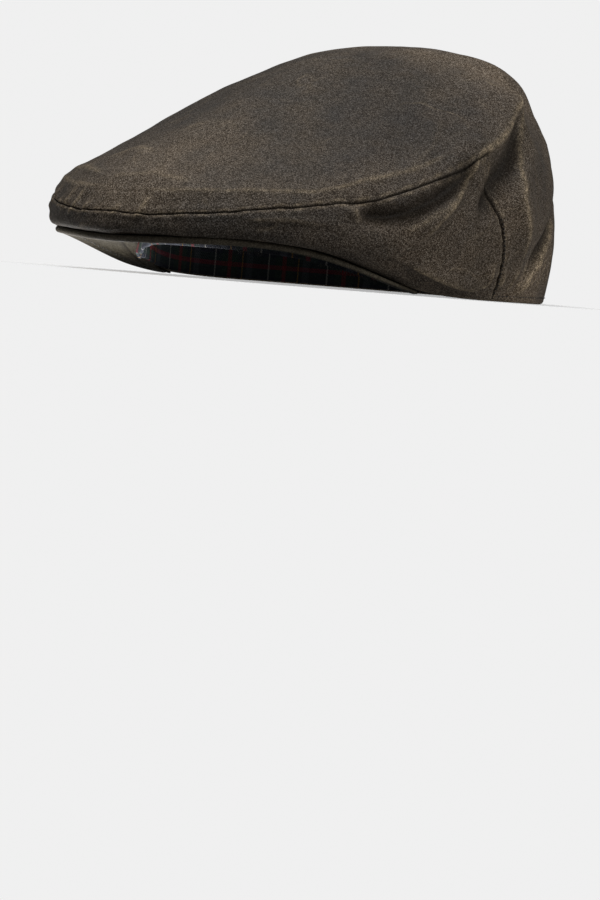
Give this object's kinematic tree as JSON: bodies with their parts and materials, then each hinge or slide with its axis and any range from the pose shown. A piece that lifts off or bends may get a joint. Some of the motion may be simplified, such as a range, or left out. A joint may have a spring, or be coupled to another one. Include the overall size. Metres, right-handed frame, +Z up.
{
  "type": "flat cap",
  "caption": "Waxed cotton flat cap with a one-piece top, a side band, a stiff peak under the front and an open hollow for the head.",
  "frame": {"origin": "middle of the cap's footprint, on the surface that the hem rests on", "axes": "+Z up, the front of the cap toward -Y, the wearer's left side toward +X"},
  "size_m": [0.2334, 0.2484, 0.1163],
  "materials": {
    "waxed_cotton": "dark olive-brown waxed cotton with a soft low sheen and chalky crease marks",
    "peak_cloth": "the same waxed cotton over a stiff board, a little lighter underneath",
    "checked_cloth": "woven cotton in a plain dark check with thin coloured lines"
  },
  "bodies": {
    "root": {"top_panel": "waxed_cotton", "side_band": "waxed_cotton", "peak": "peak_cloth", "sweatband": "checked_cloth"}
  },
  "joints": []
}
